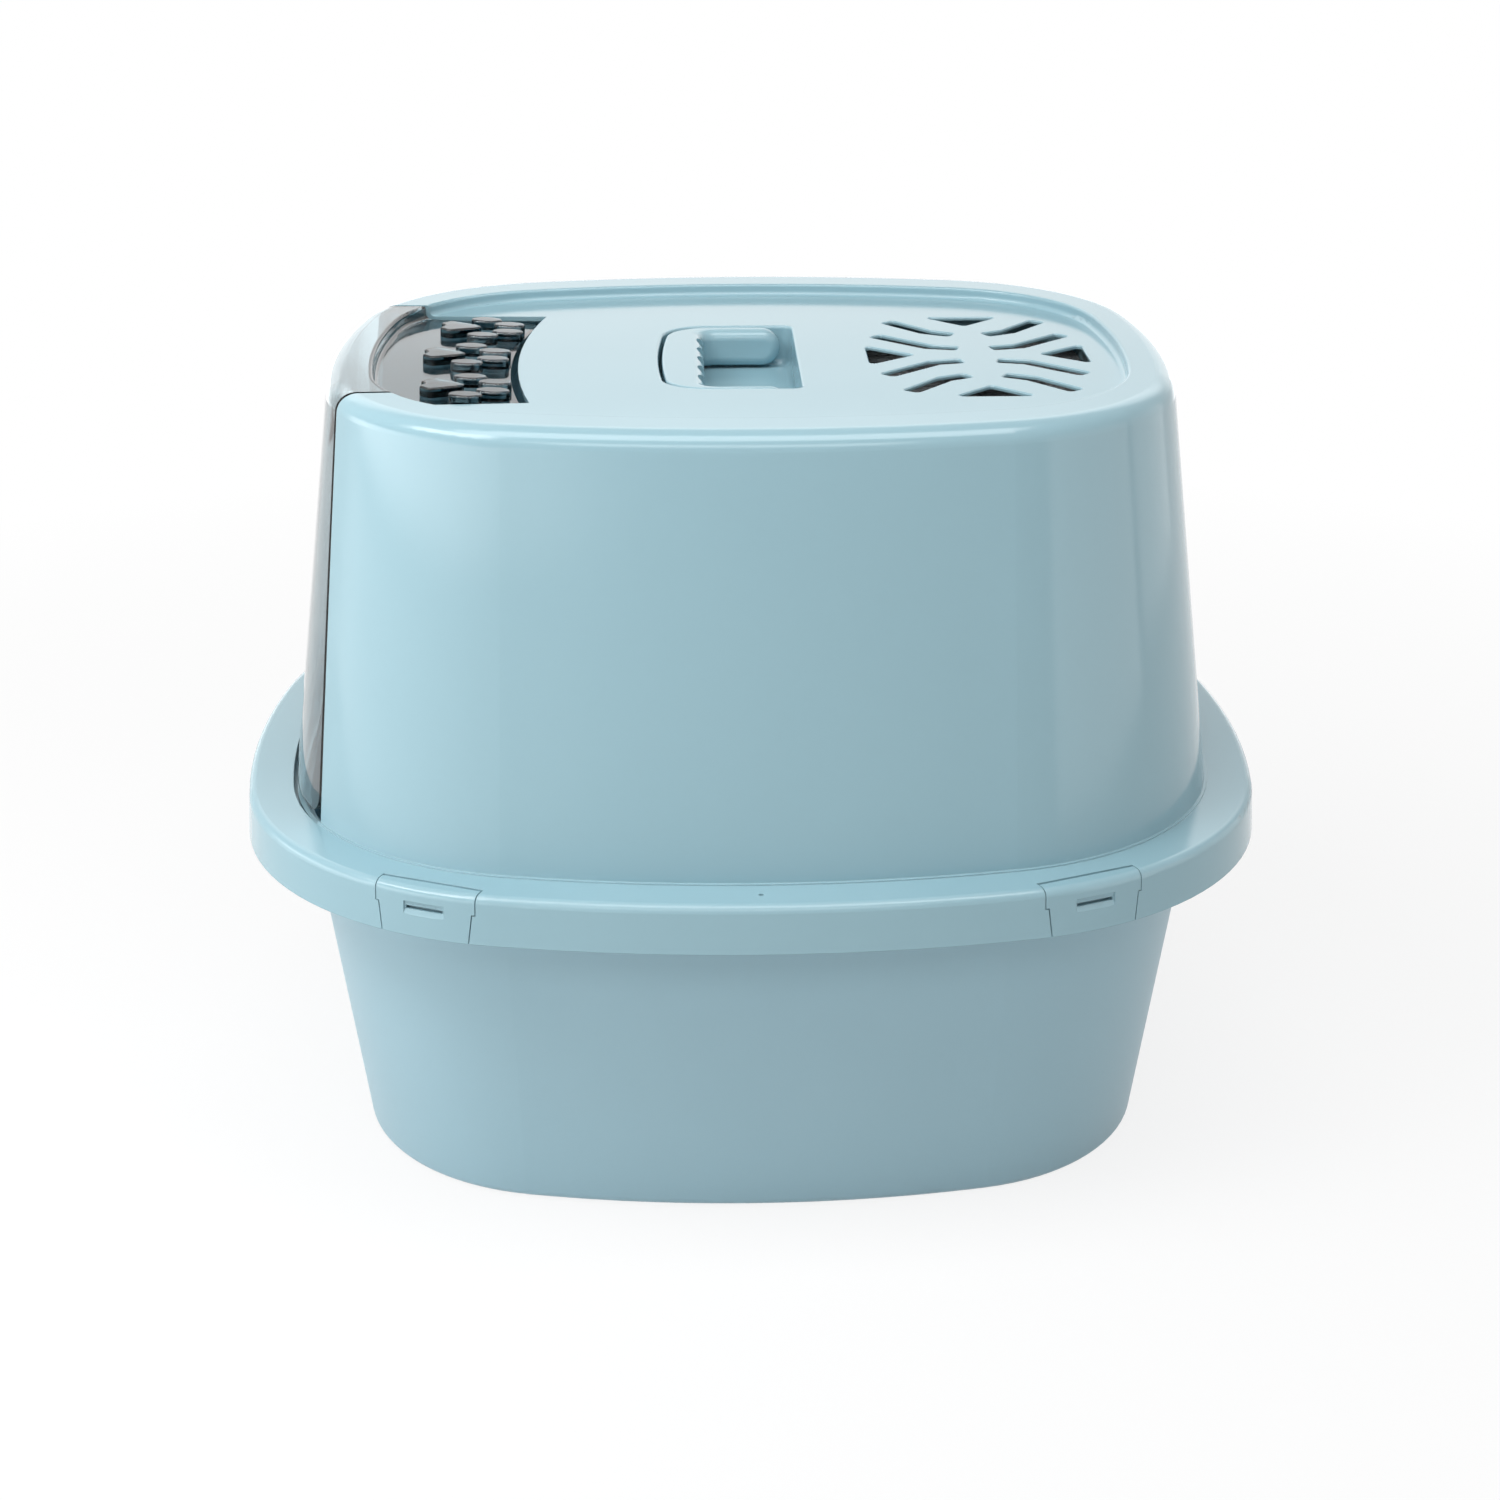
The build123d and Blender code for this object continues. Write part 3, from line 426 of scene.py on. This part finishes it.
# %% [markdown]
# ## The filter's felt
#
# The filter is a dark charcoal felt that shows through the vent. Its ground is the same kind of material as the
# plastics, with far rougher values: fine strong waves make it uneven, and a little sheen stands for the fuzz that
# catches light at a slant.

# %% Felt
FELT_SHEEN = 0.4

felt, felt_shader = plastic(
    "filter_felt", (0.075, 0.085, 0.09), (0.03, 0.035, 0.04), Roughness=0.8, Roughness_Spread=0.1,
    Wave_Scale=260.0, Wave_Height=0.0015, Grain_Height=0.0004, Grain_Scale=900.0,
)
felt_shader.inputs["Sheen Weight"].default_value = FELT_SHEEN
print("felt", felt.name)

# %% [markdown]
# Felt isn't smooth: loose hairs lie on it in every direction, and a few stand up. They are made once, as a short
# bent strand, and scattered over the pad with Geometry Nodes. The seed is fixed, so the same felt comes out each
# time. Each hair takes a turn and a stretch of its own from a range, because equal hairs would show a pattern.

# %% Node group for the felt's hairs
STRAND_STEPS = 4
STRAND_SIDES = 3
STRAND_RISE = 0.2  # of its sideways bend
HAIR_TILT = 0.12  # radians
HAIR_STRETCH = (0.5, 0.1, 0.6), (1.4, 1.3, 1.2)


def random_vector(group, low, high, seed):
    node = group.nodes.new("FunctionNodeRandomValue")
    node.data_type = "FLOAT_VECTOR"
    for socket, value in ((0, low), (1, high), ("Seed", seed)):
        set_input(group, node.inputs[socket], value)
    return node.outputs[0]


def strand(group, given):
    """One bent three-sided hair, lying along X."""
    half = math_node(group, "MULTIPLY", given["Hair"], 0.5)
    start = add_node(group, "ShaderNodeCombineXYZ", X=math_node(group, "MULTIPLY", half, -1.0))
    middle = add_node(group, "ShaderNodeCombineXYZ", Y=half, Z=math_node(group, "MULTIPLY", half, STRAND_RISE))
    end = add_node(group, "ShaderNodeCombineXYZ", X=half)
    bend = add_node(
        group, "GeometryNodeCurveQuadraticBezier", Resolution=STRAND_STEPS,
        Start=start.outputs[0], Middle=middle.outputs[0], End=end.outputs[0],
    )
    section = add_node(
        group, "GeometryNodeCurvePrimitiveCircle", Resolution=STRAND_SIDES, Radius=given["Radius"],
    )
    return add_node(
        group, "GeometryNodeCurveToMesh", Curve=bend.outputs[0], Profile_Curve=section.outputs[0], Fill_Caps=True,
    )


def hairs_group():
    """Strands scattered flat over a rectangle."""
    group = bpy.data.node_groups.new("felt hairs", "GeometryNodeTree")
    add_sockets(
        group, "INPUT", "NodeSocketFloat",
        Length=0.12, Width=0.18, Height=0.4, Density=90000.0, Hair=0.008, Radius=0.0001,
    )
    add_sockets(group, "INPUT", "NodeSocketInt", Seed=1)
    add_sockets(group, "INPUT", "NodeSocketMaterial", Finish=None)
    add_sockets(group, "OUTPUT", "NodeSocketGeometry", Hairs=None)
    given = group.nodes.new("NodeGroupInput").outputs
    sheet = add_node(group, "GeometryNodeMeshGrid", Size_X=given["Length"], Size_Y=given["Width"])
    height = add_node(group, "ShaderNodeCombineXYZ", Z=given["Height"])
    lifted = add_node(
        group, "GeometryNodeTransform", Geometry=sheet.outputs["Mesh"], Translation=height.outputs[0],
    )
    points = add_node(
        group, "GeometryNodeDistributePointsOnFaces", Mesh=lifted.outputs[0], Density=given["Density"],
        Seed=given["Seed"],
    )
    turn = random_vector(group, (-HAIR_TILT, -HAIR_TILT, 0.0), (HAIR_TILT, HAIR_TILT, math.tau), given["Seed"])
    scattered = add_node(
        group, "GeometryNodeInstanceOnPoints", Points=points.outputs["Points"],
        Instance=strand(group, given).outputs[0], Rotation=turn,
        Scale=random_vector(group, *HAIR_STRETCH, given["Seed"]),
    )
    real = add_node(group, "GeometryNodeRealizeInstances", Geometry=scattered.outputs[0])
    finished = add_node(
        group, "GeometryNodeSetMaterial", Geometry=real.outputs[0], Material=given["Finish"],
    )
    add_node(group, "NodeGroupOutput", Hairs=finished.outputs[0])
    return group


HAIRS = hairs_group()
print("hairs group takes", inputs_of(HAIRS))

# %% [markdown]
# The group is run on an empty mesh, its inputs are set to the size of the pad, and the result is kept as a plain
# mesh. The hairs sink a tenth of a millimetre into the felt, so that none floats. They stop short of its edges,
# and ride on the same body as the pad.

# %% Scatter the hairs
HAIR_LENGTH = 0.008
HAIR_RADIUS = 0.00011
HAIR_DENSITY = 90000.0  # per square metre
HAIR_SINK = 0.0001
HAIR_SEED = 7
HAIR_MARGIN = 1.4 * HAIR_LENGTH  # both edges together


def scatter_hairs(pad):
    corners = [pad.matrix_world @ Vector(corner) for corner in pad.bound_box]
    low = Vector(min(c[i] for c in corners) for i in range(3))
    high = Vector(max(c[i] for c in corners) for i in range(3))
    values = {
        "Length": high.x - low.x - HAIR_MARGIN, "Width": high.y - low.y - HAIR_MARGIN,
        "Height": high.z - HAIR_SINK, "Density": HAIR_DENSITY, "Hair": HAIR_LENGTH, "Radius": HAIR_RADIUS,
        "Seed": HAIR_SEED, "Finish": felt,
    }
    holder = bpy.data.objects.new("hair_holder", bpy.data.meshes.new("hair_holder"))
    scene.collection.objects.link(holder)
    modifier = holder.modifiers.new("hairs", "NODES")
    modifier.node_group = HAIRS
    for item in HAIRS.interface.items_tree:
        if item.in_out == "INPUT":
            modifier[item.identifier] = values[item.name]
    bpy.context.view_layer.update()
    mesh = bpy.data.meshes.new_from_object(holder.evaluated_get(bpy.context.evaluated_depsgraph_get()))
    bpy.data.objects.remove(holder)
    middle = (low + high) / 2
    mesh.transform(Matrix.Translation((middle.x, middle.y, 0.0)))
    mesh.name = "filter_fibres"
    fibres = bpy.data.objects.new("filter_fibres", mesh)
    scene.collection.objects.link(fibres)
    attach(fibres, "box")
    return fibres


hairs = scatter_hairs(nodes["filter_pad"])
print("hairs", len(hairs.data.polygons), "faces")

# %% [markdown]
# ## Dress the parts
#
# The parts keep the shapes and places that the frame gives them, and only take their finish. Whatever isn't named
# here, such as the latches, is moulded with the hood and takes its blue.

# %% Dress the parts
FINISH = {"pan": tray_blue, "swing_door": smoke, "filter_pad": felt}

for name, part in nodes.items():
    part.data.materials.clear()
    part.data.materials.append(FINISH.get(name, hood_blue))
print("dressed", {name: part.data.materials[0].name for name, part in nodes.items()})
